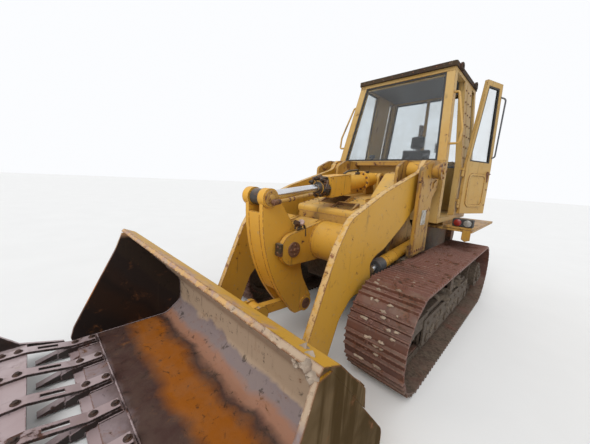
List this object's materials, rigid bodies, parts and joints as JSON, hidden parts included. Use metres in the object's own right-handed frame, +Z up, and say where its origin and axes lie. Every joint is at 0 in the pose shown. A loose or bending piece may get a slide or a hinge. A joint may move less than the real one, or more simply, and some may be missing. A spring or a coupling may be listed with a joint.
{
  "type": "track loader",
  "caption": "Track loader with a Z-bar bucket linkage, enclosed cab, rear engine, hinged door and panels, and a wide toothed bucket on two cranked lift arms.",
  "frame": {"origin": "on the ground under the middle of the machine's bounding box", "axes": "the machine faces -Y, its left side is +X and +Z is up"},
  "size_m": [2.482, 5.96, 3.118],
  "materials": {
    "yellow_paint": "faded yellow enamel, worn and rust-stained",
    "track_steel": "rusty purple-brown steel with mud",
    "frame_steel": "muddy dark steel",
    "bucket_paint": "worn yellow outside, rust inside",
    "edge_steel": "polished and rusty wear steel",
    "rod_chrome": "bright plated rod",
    "pin_steel": "greased and rusty pin",
    "pane": "dusty grey glass",
    "seat_cloth": "black seat cover",
    "dark_metal": "black painted metal",
    "roof_paint": "weathered brown-yellow paint with rust",
    "core_metal": "dirty cooling fins"
  },
  "bodies": {
    "chassis": {"hull": "frame_steel", "cross_beams": "frame_steel", "track_left": "track_steel", "track_right": "track_steel", "front_idlers": "track_steel", "sprockets": "track_steel", "final_drives": "frame_steel", "track_rollers": "track_steel", "carrier_rollers": "track_steel", "track_frame_left": "frame_steel", "track_frame_right": "frame_steel", "lift_towers": "yellow_paint", "front_hood": "yellow_paint", "cab_base": "yellow_paint", "cab_frame": "yellow_paint", "cab_roof": "roof_paint", "windscreen": "pane", "rear_window": "pane", "side_windows": "pane", "seat_stand": "dark_metal", "seat_cushions": "seat_cloth", "consoles": "dark_metal", "grab_handles": "yellow_paint", "engine": "dark_metal", "radiator": "core_metal", "engine_hood": "yellow_paint", "fenders": "yellow_paint", "rear_tank": "yellow_paint", "drawbar": "yellow_paint", "exhaust": "dark_metal", "pre_cleaner": "dark_metal", "tilt_pin": "pin_steel"},
    "arms": {"lift_arms": "yellow_paint", "crank_pin": "pin_steel"},
    "bell_crank": {"bell_crank": "yellow_paint", "link_pin": "pin_steel"},
    "bucket_link": {"bucket_link": "yellow_paint"},
    "bucket": {"bucket_shell": "bucket_paint", "cutting_edge": "edge_steel", "levelling_plate": "edge_steel", "bucket_pins": "pin_steel"},
    "lift_barrels": {"lift_barrels": "yellow_paint"},
    "lift_rods": {"lift_rods": "rod_chrome"},
    "tilt_barrel": {"tilt_barrel": "yellow_paint"},
    "tilt_piston": {"tilt_piston": "pin_steel"},
    "tilt_rod": {"tilt_rod": "rod_chrome"},
    "left_door": {"left_door": "yellow_paint", "door_glass": "pane"},
    "engine_door_left": {"engine_door_left": "yellow_paint"},
    "engine_door_right": {"engine_door_right": "yellow_paint"},
    "rear_grille": {"rear_grille": "yellow_paint"}
  },
  "joints": [
    {"name": "lift", "type": "hinge", "parent": "chassis", "child": "arms", "pos_m": [0, 0.485, 1.794], "axis": [-1, 0, 0], "range_deg": [0, 90]},
    {"name": "tilt", "type": "hinge", "parent": "arms", "child": "bucket", "pos_m": [0, -1.315, 0.235], "axis": [-1, 0, 0], "range_deg": [-129, 32]},
    {"name": "crank_turn", "type": "hinge", "parent": "arms", "child": "bell_crank", "pos_m": [0, -1.13, 1.03], "axis": [-1, 0, 0], "range_deg": [-5.48, 19.06]},
    {"name": "link_turn", "type": "hinge", "parent": "bell_crank", "child": "bucket_link", "pos_m": [0, -0.87, 0.44], "axis": [-1, 0, 0], "range_deg": [-52.6, 13.8]},
    {"name": "lift_barrel_turn", "type": "hinge", "parent": "chassis", "child": "lift_barrels", "pos_m": [0, 0.82, 0.905], "axis": [-1, 0, 0], "range_deg": [0, 62.85]},
    {"name": "lift_rod_slide", "type": "slide", "parent": "lift_barrels", "child": "lift_rods", "axis": [0, -0.9937, -0.1123], "range_m": [0, 0.9792]},
    {"name": "tilt_barrel_turn", "type": "hinge", "parent": "chassis", "child": "tilt_barrel", "pos_m": [0, 0.47, 1.68], "axis": [-1, 0, 0], "range_deg": [0, 89.65]},
    {"name": "tilt_piston_slide", "type": "slide", "parent": "tilt_barrel", "child": "tilt_piston", "axis": [0, -0.9932, -0.1161], "range_m": [0, 0.1434]},
    {"name": "tilt_rod_slide", "type": "slide", "parent": "tilt_piston", "child": "tilt_rod", "axis": [0, -0.9932, -0.1161], "range_m": [-0.1371, 0.0355]},
    {"name": "left_door_hinge", "type": "hinge", "parent": "chassis", "child": "left_door", "pos_m": [0.761, 1.46, 1.3], "axis": [0, 0, 1], "range_deg": [-160, 0]},
    {"name": "engine_door_left_hinge", "type": "hinge", "parent": "chassis", "child": "engine_door_left", "pos_m": [0.5123, 2.114, 1.3], "axis": [0, 0, -1], "range_deg": [0, 100]},
    {"name": "engine_door_right_hinge", "type": "hinge", "parent": "chassis", "child": "engine_door_right", "pos_m": [-0.5123, 2.114, 1.3], "axis": [0, 0, 1], "range_deg": [0, 100]},
    {"name": "rear_grille_hinge", "type": "hinge", "parent": "chassis", "child": "rear_grille", "pos_m": [-0.476, 2.8823, 1.3], "axis": [0, 0, 1], "range_deg": [0, 100]}
  ],
  "couplings": [
    {"joint": "crank_turn", "follows": "tilt", "ratio": -0.14},
    {"joint": "link_turn", "follows": "tilt", "ratio": 0.4},
    {"joint": "lift_barrel_turn", "follows": "lift", "ratio": 0.68728},
    {"joint": "lift_rod_slide", "follows": "lift", "m_per_rad": 0.62213},
    {"joint": "tilt_barrel_turn", "follows": "lift", "ratio": 0.985},
    {"joint": "tilt_piston_slide", "follows": "lift", "m_per_rad": 0.09},
    {"joint": "tilt_rod_slide", "follows": "tilt", "m_per_rad": 0.06}
  ]
}
